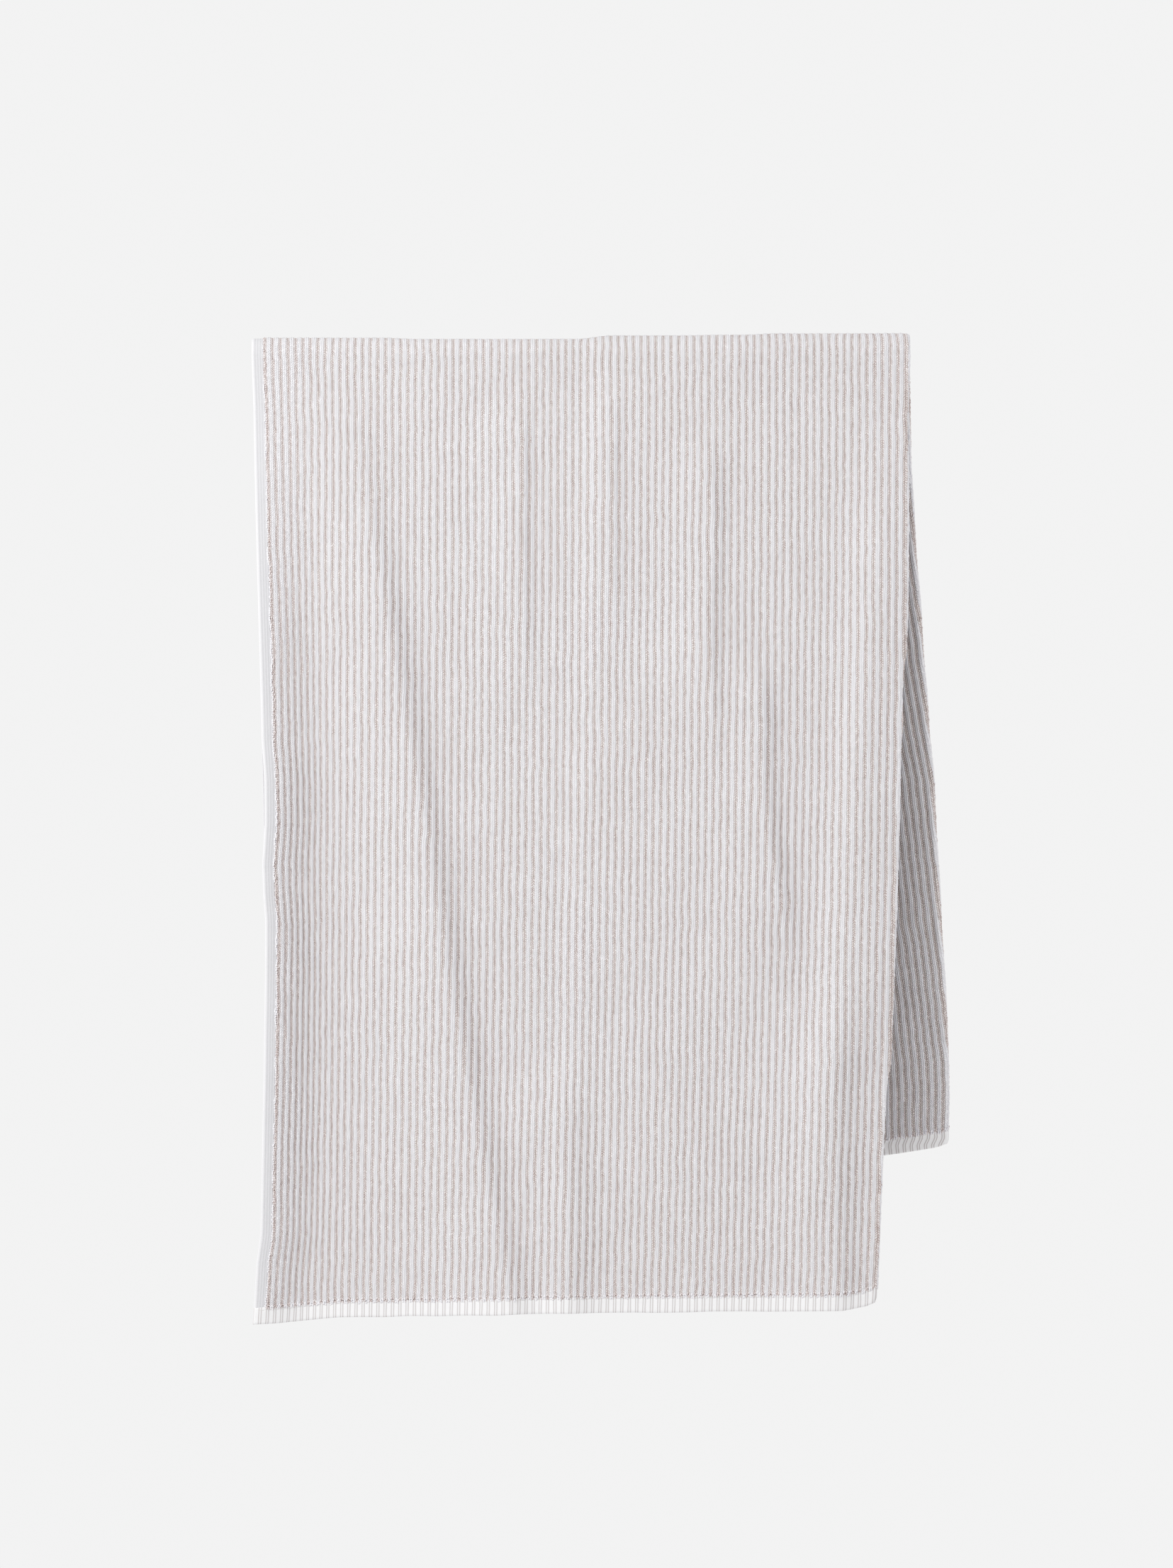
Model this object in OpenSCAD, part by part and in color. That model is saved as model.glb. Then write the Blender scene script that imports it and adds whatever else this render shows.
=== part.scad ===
// Striped terry bath towel, folded lengthwise and hung over a round rail.
// The rail axis is X, the front hangs on the -Y side, and Z is up.

/* [Cloth] */
// Full length of the towel, from hem to hem
towel_length = 1400; // [1390:2:1410]
// Thickness of the looped terry
terry_t = 3; // [2.6:0.1:3.2]
// Width of the flat-woven selvedge along each long side
selvedge_w = 9.4; // [8:0.2:11]
// Thickness of the selvedge
selvedge_t = 1.4; // [1:0.1:2]
// Space between the outer layer and the flap turned under it
layer_gap = 0.6; // [0.4:0.1:0.8]

/* [Hems] */
// Height of the sewn hem at each end
hem_h = 13; // [11:0.5:15]
// Thickness of a hem, which is three flat-woven layers
hem_t = 2.4; // [2:0.1:2.6]
// Length of one stitch
stitch_len = 4; // [3:0.5:5]
// Distance from one stitch to the next
stitch_pitch = 6; // [5.5:0.5:8]
// Diameter of the sewing thread
thread_d = 0.5; // [0.3:0.1:0.7]
// Distance of the stitching below the edge of the terry
stitch_drop = 1.8; // [1.2:0.2:3]

/* [Rail] */
// Diameter of the round rail that the towel hangs over
rail_d = 21; // [19:0.5:25]
// Width of the folded towel on the rail
folded_w = 512.5; // [505:0.5:520]
// Angle above the rail's middle at which the outer layer of the saddle ends
outer_end_angle = 16; // [16:1:20]
// Angle above the rail's middle at which the inner layer of the saddle ends
under_end_angle = 3; // [3:1:6]
// Angle at which the stiff cloth holds each hang off the vertical
flare = 2; // [1:0.5:3]

/* [Front hang] */
// Drop of the front at its left corner
front_drop_left = 754.5; // [750:0.5:758]
// Drop of the front at its middle
front_drop_mid = 745.5; // [743:0.5:748]
// Drop of the front at the fold
front_drop_fold = 739; // [736:0.5:742]
// Distance that the fold leans inwards from the rail to the front hem
front_fold_lean = 26.3; // [20:0.1:30]
// Distance that the left edge draws in below the rail
front_tuck = 10.5; // [6:0.5:12]

/* [Back hang] */
// Distance that the fold leans outwards from the rail to the back hem
back_fold_lean = 32; // [26:1:36]
// Distance that the left edge leans inwards from the rail to the back hem
back_left_lean = 14; // [10:1:18]

/* [Turned-under flap] */
// Place of the flap's free edge on the rail, along X from the origin
flap_edge_x = 27.6; // [20:0.2:36]
// Distance that the free edge runs to the left down the front
flap_front_run = 34; // [28:1:38]
// Distance that the free edge runs to the right down the back
flap_back_run = 78; // [70:1:84]
// Drop of the flap's free corner at the front
flap_front_drop = 728; // [724:1:732]

/* [Hidden] */

TERRY = [0.86, 0.83, 0.83];
FLAT = [0.94, 0.93, 0.94];
THREAD = [0.98, 0.97, 0.95];
FRONT = -1;
BACK = 1;
EDGE_STEPS = 12;
$fn = 96;

// Radii and depths, measured from the rail axis
rail_r = rail_d / 2;
under_mid = rail_r + terry_t / 2;
outer_mid = rail_r + terry_t + layer_gap + terry_t / 2;
fold_mid = rail_r + terry_t + layer_gap / 2;
fold_r = terry_t + layer_gap / 2;

// The wall on the rail runs from the left edge to the start of the fold, with the origin at its middle
wall_len = folded_w - fold_r;
left_x = -wall_len / 2;
fold_x = wall_len / 2;

// The outer layer climbs from the rail onto the flap between these two places
climb_w = 26;
climb_end = flap_edge_x - 2;
climb_start = climb_end - climb_w;
climb = [[climb_start, under_mid], [climb_end, outer_mid]];
climb_angle = atan((outer_mid - under_mid) / climb_w);
bend_clear = stitch_len / 2 + 0.4;

// The back hangs by what the front and the arc over the rail leave of the length
arc_single = PI * under_mid;
arc_double = PI * fold_mid;
back_drop_left = towel_length - front_drop_left - arc_single;
back_drop_fold = towel_length - front_drop_fold - arc_double;
flap_back_drop = towel_length - flap_front_drop - arc_single - 5;

function fold_lean(side) = side == FRONT ? -front_fold_lean : back_fold_lean;
function fold_drop(side) = side == FRONT ? front_drop_fold : back_drop_fold;
function flap_run(side) = side == FRONT ? -flap_front_run : flap_back_run;
function flap_drop(side) = side == FRONT ? flap_front_drop : flap_back_drop;

// X of the start of the fold, and of the flap's free edge, at height z
function fold_at(side, z) = fold_x - z / fold_drop(side) * fold_lean(side);
function flap_at(side, z) = flap_edge_x - z / flap_drop(side) * flap_run(side);

// X of the left edge at height z: the front draws in and flares out again at the corner
function left_at(side, z) =
    side == FRONT
        ? left_x + front_tuck * sin(180 * pow(-z / front_drop_left, 1.45))
        : left_x - z / back_drop_left * back_left_lean;

// Bottom edge of the outer layer and of the flap, as [x, z] from left to right
function outer_line(side) =
    side == FRONT
        ? [[left_x, -front_drop_left], [left_x + 70, -front_drop_mid - 3.5], [0, -front_drop_mid],
           [206, -front_drop_mid + 2], [fold_at(side, -front_drop_fold), -front_drop_fold]]
        : [[left_x + back_left_lean, -back_drop_left], [0, -back_drop_fold],
           [fold_at(side, -back_drop_fold), -back_drop_fold]];
function flap_line(side) =
    let (drop = fold_drop(side), edge = flap_drop(side))
        side == FRONT
            ? [[flap_at(side, -edge), -edge], [fold_at(side, -drop), -drop]]
            : [[flap_at(side, -edge), -edge], [flap_at(side, -edge) + 130, -drop - 8],
               [fold_at(side, -drop), -drop]];

function raised(line, dz) = [for (p = line) [p.x, p.y + dz]];
function reversed(line) = [for (i = [len(line) - 1:-1:0]) line[i]];
function between(line, x0, x1) = [for (p = line) if (p.x > x0 && p.x < x1) p];

// Left edge from the rail down to height z1, moved right by dx
function left_edge(side, z1, dx) =
    [for (i = [0:EDGE_STEPS]) let (z = z1 * i / EDGE_STEPS) [left_at(side, z) + dx, z]];

// Height of the top of the hem at the fold, and of the terry's lower left corner
function fold_top(side) = hem_h - fold_drop(side);
function terry_end(top_line) = lookup(left_x + selvedge_w, top_line);

// Plan of the outer layer: a strip of the given thickness that climbs onto the flap
function outer_strip(x0, x1, t) = [
    [x0, under_mid - t / 2], [climb_start, under_mid - t / 2],
    [climb_end, outer_mid - t / 2], [x1, outer_mid - t / 2],
    [x1, outer_mid + t / 2], [climb_end, outer_mid + t / 2],
    [climb_start, under_mid + t / 2], [x0, under_mid + t / 2]
];

// A ring sector over the rail, from a profile in [radius, x]
module over_rail(end_angle) {
    rotate([0, 90, 0])
        rotate([0, 0, 90 + end_angle])
            rotate_extrude(angle = 180 - 2 * end_angle)
                children();
}

// A flat layer on one side of the rail, from its outline in [x, z]
module layer(side, mid, t) {
    translate([0, side * mid + t / 2, 0])
        rotate([90, 0, 0])
            linear_extrude(t)
                children();
}

// The outer layer's thickness as a tall block, leaning along the flap's free edge
module outer_block(side, t) {
    reach = 1000;
    lean = atan(flap_run(side) / flap_drop(side));
    translate([flap_edge_x, 0, 0])
        rotate([0, -lean, 0])
            translate([-flap_edge_x, 0, -reach])
                linear_extrude(reach + 100)
                    polygon([for (p = outer_strip(-reach, reach, t)) [p.x, side * p.y]]);
}

// Swings a hang out about the line where it leaves the rail
module hung(side) {
    translate([0, side * fold_mid, 0])
        rotate([side * flare, 0, 0])
            translate([0, -side * fold_mid, 0])
                children();
}

module outer_layer(side, t, outline) {
    intersection() {
        outer_block(side, t);
        layer(side, outer_mid, 4 * outer_mid)
            polygon(outline);
    }
}

// Half tube of the fold, from height z0 down to z1
module fold_tube(side, t, z0, z1) {
    reach = 1000;
    mid_r = (outer_mid - under_mid) / 2;
    lean = atan(fold_lean(side) / fold_drop(side));
    intersection() {
        translate([fold_x, side * fold_mid, 0])
            rotate([0, -lean, 0])
                translate([0, 0, -reach])
                    linear_extrude(reach + 100)
                        difference() {
                            intersection() {
                                circle(r = mid_r + t / 2);
                                translate([0, -reach])
                                    square([reach, 2 * reach]);
                            }
                            circle(r = mid_r - t / 2);
                        }
        translate([0, -reach / 2, z1])
            cube([reach, reach, z0 - z1]);
    }
}

module outer_terry(side) {
    line = raised(outer_line(side), hem_h);
    edge = left_edge(side, terry_end(line), selvedge_w);
    inner = between(line, edge[EDGE_STEPS].x + 1, fold_at(side, fold_top(side)) - 1);
    outline = concat(edge, inner, [[fold_at(side, fold_top(side)), fold_top(side)], [fold_x, 0]]);
    color(TERRY)
        hung(side)
            outer_layer(side, terry_t, outline);
}

module outer_selvedge(side) {
    end = terry_end(raised(outer_line(side), hem_h));
    outline = concat(left_edge(side, end, 0), reversed(left_edge(side, end, selvedge_w)));
    color(FLAT)
        hung(side)
            outer_layer(side, selvedge_t, outline);
}

module fold(side) {
    color(TERRY)
        hung(side)
            fold_tube(side, terry_t, 0, fold_top(side));
}

module under_terry(side) {
    line = raised(flap_line(side), hem_h);
    x0 = line[0].x + selvedge_w;
    x1 = fold_at(side, fold_top(side));
    color(TERRY)
        hung(side)
            layer(side, under_mid, terry_t)
                polygon(concat(
                    [[fold_x, 0], [flap_edge_x + selvedge_w, 0], [x0, lookup(x0, line)]],
                    between(line, x0 + 1, x1 - 1),
                    [[x1, fold_top(side)]]
                ));
}

module under_selvedge(side) {
    line = raised(flap_line(side), hem_h);
    x0 = line[0].x;
    x1 = x0 + selvedge_w;
    color(FLAT)
        hung(side)
            layer(side, under_mid, selvedge_t)
                polygon([
                    [flap_edge_x + selvedge_w, 0], [flap_edge_x, 0],
                    [x0, lookup(x0, line)], [x1, lookup(x1, line)]
                ]);
}

module outer_hem(side) {
    line = outer_line(side);
    top = raised(line, hem_h);
    end = terry_end(top);
    x1 = fold_at(side, fold_top(side));
    inner = between(top, left_at(side, end) + selvedge_w + 1, x1 - 1);
    outline = concat(
        [[left_at(side, end), end]],
        line,
        [[x1, fold_top(side)]],
        reversed(inner),
        [[left_at(side, end) + selvedge_w, end]]
    );
    color(FLAT)
        hung(side)
            outer_layer(side, hem_t, outline);
}

module hem_fold(side) {
    color(FLAT)
        hung(side)
            fold_tube(side, hem_t, fold_top(side), -fold_drop(side));
}

module under_hem(side) {
    line = flap_line(side);
    x1 = fold_at(side, fold_top(side));
    inner = between(raised(line, hem_h), left_x, x1 - 1);
    color(FLAT)
        hung(side)
            layer(side, under_mid, hem_t)
                polygon(concat(line, [[x1, fold_top(side)]], reversed(inner)));
}

// One stitch on each face of a hem: the needle thread outside and the bobbin thread inside
module stitch(side, x, mid, z, turn) {
    for (face = [-1, 1])
        translate([x, side * mid, z])
            rotate([0, 0, turn])
                translate([-stitch_len / 2, face * (hem_t + thread_d) / 2 - thread_d / 2, -thread_d / 2])
                    cube([stitch_len, thread_d, thread_d]);
}

// Place across the climb of a point of the leaning hem
function across_climb(side, x, z) =
    flap_edge_x + (x - flap_at(side, z)) * cos(atan(flap_run(side) / flap_drop(side)));

// True where a stitch lies flat, clear of the two bends of the climb
function stitch_fits(along) =
    abs(along - climb_start) > bend_clear && abs(along - climb_end) > bend_clear;

module outer_stitching(side) {
    line = raised(outer_line(side), hem_h - stitch_drop);
    first = left_at(side, line[0].y) + stitch_pitch;
    last = line[len(line) - 1].x - stitch_pitch;
    color(THREAD)
        hung(side)
            for (x = [first:stitch_pitch:last])
                let (z = lookup(x, line), along = across_climb(side, x, z))
                    if (stitch_fits(along))
                        stitch(side, x, lookup(along, climb), z,
                            along > climb_start && along < climb_end ? side * climb_angle : 0);
}

module under_stitching(side) {
    line = raised(flap_line(side), hem_h - stitch_drop);
    color(THREAD)
        hung(side)
            for (x = [line[0].x + stitch_pitch:stitch_pitch:line[len(line) - 1].x - stitch_pitch])
                stitch(side, x, under_mid, lookup(x, line), 0);
}

module saddle_outer_terry() {
    color(TERRY)
        over_rail(outer_end_angle)
            polygon([for (p = outer_strip(left_x + selvedge_w, fold_x, terry_t)) [p.y, p.x]]);
}

module saddle_outer_selvedge() {
    color(FLAT)
        over_rail(outer_end_angle)
            translate([rail_r, left_x])
                square([selvedge_t, selvedge_w]);
}

module saddle_fold() {
    color(TERRY)
        over_rail(outer_end_angle)
            translate([fold_mid, fold_x])
                intersection() {
                    difference() {
                        circle(r = fold_r);
                        circle(r = layer_gap / 2);
                    }
                    translate([-fold_r, 0])
                        square([2 * fold_r, fold_r]);
                }
}

module saddle_under_terry() {
    color(TERRY)
        over_rail(under_end_angle)
            translate([rail_r, flap_edge_x + selvedge_w])
                square([terry_t, fold_x - flap_edge_x - selvedge_w]);
}

module saddle_under_selvedge() {
    color(FLAT)
        over_rail(under_end_angle)
            translate([rail_r, flap_edge_x])
                square([selvedge_t, selvedge_w]);
}

saddle_outer_terry();
saddle_outer_selvedge();
saddle_fold();
saddle_under_terry();
saddle_under_selvedge();
outer_terry(FRONT);  // front_outer_terry
outer_selvedge(FRONT);  // front_outer_selvedge
fold(FRONT);  // front_fold
under_terry(FRONT);  // front_under_terry
under_selvedge(FRONT);  // front_under_selvedge
outer_hem(FRONT);  // front_outer_hem
hem_fold(FRONT);  // front_hem_fold
under_hem(FRONT);  // front_under_hem
outer_stitching(FRONT);  // front_outer_stitching
under_stitching(FRONT);  // front_under_stitching
outer_terry(BACK);  // back_outer_terry
outer_selvedge(BACK);  // back_outer_selvedge
fold(BACK);  // back_fold
under_terry(BACK);  // back_under_terry
under_selvedge(BACK);  // back_under_selvedge
outer_hem(BACK);  // back_outer_hem
hem_fold(BACK);  // back_hem_fold
under_hem(BACK);  // back_under_hem
outer_stitching(BACK);  // back_outer_stitching
under_stitching(BACK);  // back_under_stitching
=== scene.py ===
import itertools
import math
from types import SimpleNamespace

import bpy
import numpy as np
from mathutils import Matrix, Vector


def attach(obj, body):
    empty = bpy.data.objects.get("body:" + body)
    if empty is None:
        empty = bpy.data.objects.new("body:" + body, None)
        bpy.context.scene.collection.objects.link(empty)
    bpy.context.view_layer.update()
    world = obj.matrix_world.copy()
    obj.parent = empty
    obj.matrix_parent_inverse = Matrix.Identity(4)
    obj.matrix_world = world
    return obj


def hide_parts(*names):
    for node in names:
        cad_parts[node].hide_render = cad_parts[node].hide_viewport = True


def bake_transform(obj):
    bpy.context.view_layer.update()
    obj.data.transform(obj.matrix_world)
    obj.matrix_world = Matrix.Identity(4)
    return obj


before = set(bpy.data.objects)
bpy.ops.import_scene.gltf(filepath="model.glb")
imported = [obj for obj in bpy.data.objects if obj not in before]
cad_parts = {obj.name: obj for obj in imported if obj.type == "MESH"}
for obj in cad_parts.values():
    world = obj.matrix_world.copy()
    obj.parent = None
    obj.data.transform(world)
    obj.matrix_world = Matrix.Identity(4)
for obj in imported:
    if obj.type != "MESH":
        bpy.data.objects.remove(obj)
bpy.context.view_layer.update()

# ---- Sizes ---------------------------------------------------------------------------------------------
# In millimetres, the same as the CAD model's. Meshes are scaled to metres when they are made.
# u is a place across the flat cloth, v is a place along it, and d is a depth below the rail's middle.

MM = 0.001
TURN = 2 * math.pi
CLOTH_W = 750.0
RAIL_R = 10.5
TERRY_T = 3.0
SELVEDGE_W = 9.4
SELVEDGE_T = 1.4
HEM_H = 13.0
HEM_T = 2.4
LAYER_GAP = 0.6
STITCH_LEN = 4.0
STITCH_PITCH = 6.0
STITCH_DROP = 1.8
THREAD_R = 0.25

# Distance from the rail's middle to the middle of the under layer, of the outer layer and of the fold
UNDER_MID = RAIL_R + TERRY_T / 2
OUTER_MID = RAIL_R + TERRY_T * 1.5 + LAYER_GAP
FOLD_MID = (UNDER_MID + OUTER_MID) / 2
FOLD_R = (OUTER_MID - UNDER_MID) / 2
FOLD_BEND = math.pi * FOLD_R

# Places along X on the rail. The outer layer climbs onto the flap over CLIMB_W, ahead of the flap's edge.
LEFT_X = -254.6
FOLD_X = 254.6
FLAP_X = 27.6
CLIMB_W = 26.0
CLIMB_LEAD = 2.0

# Share of the flat width that the folded cloth keeps where it lies on the rail
RAIL_KEEP = (2 * FOLD_X + FOLD_BEND + FOLD_X - FLAP_X) / CLOTH_W

# Each hang leans outwards, and the lean begins softly
FLARE = math.radians(2)
FLARE_START = 20.0

# The rounded corner where the lengthwise fold meets the hem's lower edge
CORNER_IN = 1.6
CORNER_H = 7.0
CORNER_UP = 1.8
CORNER_REACH = 2.8
HEM_SMOOTH = 13

# The weave. A stripe is four pile ends wide: a grey part, of nearly two ends, and then a white part.
PILE_END = 1.4795
STRIPE = 4 * PILE_END
LOOP_ROW = 1.79
GREY_SHARE = 0.46
WHITE_MIDDLE = (1 + GREY_SHARE) / 2
RIB_H = 0.34
SELVEDGE_RIB = SELVEDGE_W / 4.5

# Where the lengthwise fold lies across the width: about here, always in this range, and in the part where
# the mesh is finer
FOLD_U = 514.0
FOLD_RANGE = (470, 570)
FINE_FROM = 494.0
FINE_TO = 556.0

# How the front narrows and bows: the left edge bows inwards, and the rest draws in towards the hem
FRONT_BOW = 10.5
FRONT_BOW_END = 754.5
FRONT_BOW_SKEW = 1.45
FRONT_DRAW = 3.8
FRONT_DRAW_ACROSS = 0.019
EDGE_REACH = 50

# How the back narrows: its left edge moves in, and its width shrinks to this share of the flat width
BACK_DRAW = 14.0
BACK_KEEP = 0.952

# Relief of the cloth on the hangs. It reaches its full height at depth SETTLE.
SETTLE = 70
CREST_STRAY = 4
CREST_STRAY_CELL = 120
CREASE_HALF = 3.5
CREASE_FADE = 20
CURL_D = (0, 60, 200, 340, 560, 760)
CURL_REACH = 44.0

# How much of the thickness over the rail is pressed out, at places along X
PRESS_X = (-262, -150, -128, -6, 6, 34, 88, 106, 134, 150, 262)
PRESS = (0.04, 0.04, 0.36, 0.36, 0.30, 0.30, 0.29, 0.22, 0.20, 0.06, 0.04)


def fold(top, bottom, x_top, x_bottom, height, left, right):
    """A soft vertical fold: it runs from depth top to depth bottom, and falls away over left and right."""
    return SimpleNamespace(
        top=top, bottom=bottom, x_top=x_top, x_bottom=x_bottom, height=height, left=left, right=right
    )


# The two hangs. sign is the side of the rail. The fold leans by fold_lean over fold_drop, and the flap's edge
# by flap_run over flap_drop. outer_line and flap_line are the hem's lower edge, as X and depth. curl is the
# left edge's lift at the depths in CURL_D. The waves are depths and offsets along X, of the fold and of the
# left edge. A crease is its depth, its two ends along X, and how deep it is pressed in.
FRONT = SimpleNamespace(
    name="front",
    sign=-1,
    fold_lean=-26.3,
    fold_drop=739.0,
    flap_run=-34.0,
    flap_drop=728.0,
    drop=745.0,
    outer_line=([-254.6, -184.6, 0, 206, 228.3], [754.5, 749, 745.5, 743.5, 739]),
    flap_line=([-6.4, 228.3], [728, 739]),
    curl=(0, 0, 14, 19, 18, 14),
    fold_wave=(
        [0, 60, 90, 130, 200, 232, 243, 265, 287, 309, 353, 441, 507, 552, 575, 618, 739],
        [0, 0, 2.0, 3.3, 5.0, 5.0, 4.0, 3.2, 4.6, 3.4, 4.2, 4.4, 4.4, 4.2, 1.2, 0.5, 0.0],
    ),
    edge_wave=(
        [0, 40, 265, 300, 331, 365, 397, 420, 441, 530, 600, 640, 684, 706, 745],
        [0, 1.0, 1.1, 0.9, 2.2, 1.7, -0.9, -0.4, 1.0, 0.6, 1.3, 2.2, 3.6, 1.8, 2.0],
    ),
    folds=[
        fold(10, 1000, -190, -6, 12.5, 50, 14),
        fold(10, 290, -46, -44, 4.4, 26, 7),
        fold(5, 250, 22, 24, 3.2, 24, 7),
        fold(50, 350, 96, 106, 6.0, 30, 9),
        fold(220, 500, 130, 160, 8.5, 38, 11),
        fold(540, 860, -16, -6, 9.0, 48, 18),
        fold(30, 740, 242, 184, 10.5, 22, 42),
        fold(480, 880, 194, 200, 8.5, 38, 15),
    ],
    creases=[(48, 150, 262, 0.5), (402, -262, -6, 0.6)],
)
BACK = SimpleNamespace(
    name="back",
    sign=1,
    fold_lean=32.0,
    fold_drop=617.6,
    flap_run=78.0,
    flap_drop=629.3,
    drop=615.0,
    outer_line=([-240.6, 0, 286.6], [607.8, 617.6, 617.6]),
    flap_line=([105.6, 235.6, 286.6], [629.3, 625.6, 617.6]),
    curl=(0, 0, 2, 3, 3, 2),
    fold_wave=(
        [0, 44, 88, 150, 200, 250, 290, 330, 440, 463, 552, 580, 600, 618],
        [0, -1.1, -2.6, -2.2, -0.8, 0.0, 1.1, 2.6, 2.8, 3.2, 3.2, 2.0, 0.5, 0.0],
    ),
    edge_wave=([0, 615], [0, 0]),
    folds=[
        fold(50, 700, -150, -130, 3.2, 40, 26),
        fold(70, 700, 20, 60, 3.0, 44, 30),
        fold(120, 520, 160, 196, 2.4, 36, 26),
    ],
    creases=[(300, -262, 300, 0.5)],
)


def smooth(x):
    x = np.clip(x, 0, 1)
    return x * x * (3 - 2 * x)


def lumps(x, y, cell, seed):
    """Smooth seeded noise from -1 to 1, with one value per cell."""
    side = 256
    table = np.random.default_rng(seed).uniform(-1, 1, (side, side))
    gx, gy = np.asarray(x, float) / cell + 70, np.asarray(y, float) / cell + 40
    ix, iy = np.floor(gx).astype(int), np.floor(gy).astype(int)
    fx, fy = smooth(gx - ix), smooth(gy - iy)
    corner = [[table[(ix + i) % side, (iy + j) % side] for j in (0, 1)] for i in (0, 1)]
    low = corner[0][0] * (1 - fx) + corner[1][0] * fx
    high = corner[0][1] * (1 - fx) + corner[1][1] * fx
    return low * (1 - fy) + high * fy


# ---- Where each point of the cloth lies ----------------------------------------------------------------

def drift(hang, u, d):
    """How far the cloth has moved along X at depth d, against where it lies on the rail."""
    if hang is BACK:
        return (BACK_DRAW + (BACK_KEEP - RAIL_KEEP) * u) * d / hang.drop
    bow = FRONT_BOW * np.sin(math.pi * np.clip(d / FRONT_BOW_END, 0, 1) ** FRONT_BOW_SKEW)
    wave = np.interp(d, *hang.edge_wave)
    inner = -(FRONT_DRAW + FRONT_DRAW_ACROSS * u) * (d / hang.drop) ** 2
    near_edge = np.exp(-((u / EDGE_REACH) ** 2))
    return near_edge * (bow + wave) + (1 - near_edge) * inner


def plan(hang, u, d):
    """Cloth width u at depth d: X, the distance from the rail's middle, and how far u is past the fold."""
    fold_x = FOLD_X + hang.fold_lean * d / hang.fold_drop + np.interp(d, *hang.fold_wave)
    fold_x = fold_x - CORNER_IN * smooth((d - hang.fold_drop + CORNER_H) / CORNER_H)
    flap_x = FLAP_X + hang.flap_run * d / hang.flap_drop
    # The cloth drifts as it hangs, so the place of the fold across its width is found in a few rounds
    u_fold = np.full_like(d, FOLD_U)
    for _ in range(6):
        u_fold = (fold_x - LEFT_X - drift(hang, u_fold, d)) / RAIL_KEEP
    x_outer = LEFT_X + RAIL_KEEP * u + drift(hang, u, d)
    past = (u - u_fold) * (FOLD_BEND + fold_x - flap_x) / (CLOTH_W - u_fold)
    turn = np.clip(past / FOLD_R, 0, math.pi)
    x_folded = np.where(past < FOLD_BEND, fold_x + FOLD_R * np.sin(turn), fold_x - past + FOLD_BEND)
    x = np.where(past < 0, x_outer, x_folded)
    climb = smooth((x_outer - flap_x + CLIMB_W + CLIMB_LEAD) / CLIMB_W)
    mid_outer = UNDER_MID + (OUTER_MID - UNDER_MID) * climb
    mid = np.where(past < 0, mid_outer, FOLD_MID + FOLD_R * np.cos(turn))
    return x, mid, past


def swell(hang, x, d, left):
    """How far the folds and creases push the cloth outwards. left is X of the left edge at that depth."""
    out = 0.0 * x
    for f in hang.folds:
        along = (d - f.top) / (f.bottom - f.top)
        stray = CREST_STRAY * lumps(d, 0 * d, CREST_STRAY_CELL, seed=int(f.height * 10))
        away = x - (f.x_top + (f.x_bottom - f.x_top) * along + stray)
        width = np.where(away < 0, f.left, f.right)
        # A fold rises over its first fifth and fades over its last third
        run = smooth(along * 5) * smooth((1 - along) * 3)
        out += f.height * run * np.exp(-((away / width) ** 2))
    for depth, x0, x1, height in hang.creases:
        run = smooth((x - x0) / CREASE_FADE) * smooth((x1 - x) / CREASE_FADE)
        out -= height * run * np.exp(-(((d - depth) / CREASE_HALF) ** 2))
    out += np.interp(d, CURL_D, hang.curl) * (1 - smooth((x - left) / CURL_REACH))
    # The cloth is slightly uneven all over
    out += 0.8 * lumps(x, d, 46, seed=11 + hang.sign) + 0.22 * lumps(x, d, 15, seed=21 + hang.sign)
    return out * smooth(d / SETTLE)


def press(points):
    """Squeezes the layers against the rail, as their weight does at the top."""
    x, y, z = points[..., 0], points[..., 1], points[..., 2]
    r = np.hypot(y, z)
    rise = np.clip(z / np.maximum(r, 1), 0, 1)
    keep = 1 - np.interp(x, PRESS_X, PRESS) * rise ** 1.5
    scale = np.where(z > 0, (RAIL_R + (r - RAIL_R) * keep) / np.maximum(r, 1), 1)
    return np.stack([x, y * scale, z * scale], -1)


def surface(hang, u, d, phi):
    """The cloth's middle surface: depth d below the rail's middle, then angle phi round the rail."""
    u, d, phi = np.broadcast_arrays(np.asarray(u, float), np.asarray(d, float), np.asarray(phi, float))
    x, mid, _ = plan(hang, u, d)
    left = plan(hang, 0 * u, d)[0]
    out = swell(hang, x, d, left) + math.tan(FLARE) * d * d / (d + FLARE_START)
    y = hang.sign * (mid * np.cos(phi) + out)
    z = mid * np.sin(phi) - d * math.cos(FLARE)
    return np.stack([x, y, z], -1), mid


def drop_at(hang, u):
    """Depth of the hem's lower edge for cloth width u."""
    table_u = np.linspace(0, CLOTH_W, 1501)
    x, _, past = plan(hang, table_u, np.full_like(table_u, hang.drop))
    outer = np.interp(x, *hang.outer_line)
    flap = np.interp(x, *hang.flap_line)
    corner = (past - FOLD_BEND / 2) / CORNER_REACH
    table = np.where(past < 0, outer, flap) - CORNER_UP * np.exp(-corner ** 2)
    table = np.pad(table, HEM_SMOOTH // 2, mode="edge")
    table = np.convolve(table, np.ones(HEM_SMOOTH) / HEM_SMOOTH, "valid")
    return np.interp(u, table_u, table)


def crest_length(hang, u):
    """Length of cloth from the lower edge to the top of the rail."""
    mid = plan(hang, np.asarray(u, float), 0 * np.asarray(u, float))[1]
    return drop_at(hang, u) + mid * math.pi / 2


def cloth_v(hang, u, up):
    """Place along the towel from the front hem's lower edge. up is the length from this hang's lower edge."""
    if hang is FRONT:
        return up
    return crest_length(FRONT, u) + crest_length(BACK, u) - up


def unit(v):
    return v / np.maximum(np.linalg.norm(v, axis=-1, keepdims=True), 1e-9)


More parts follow.
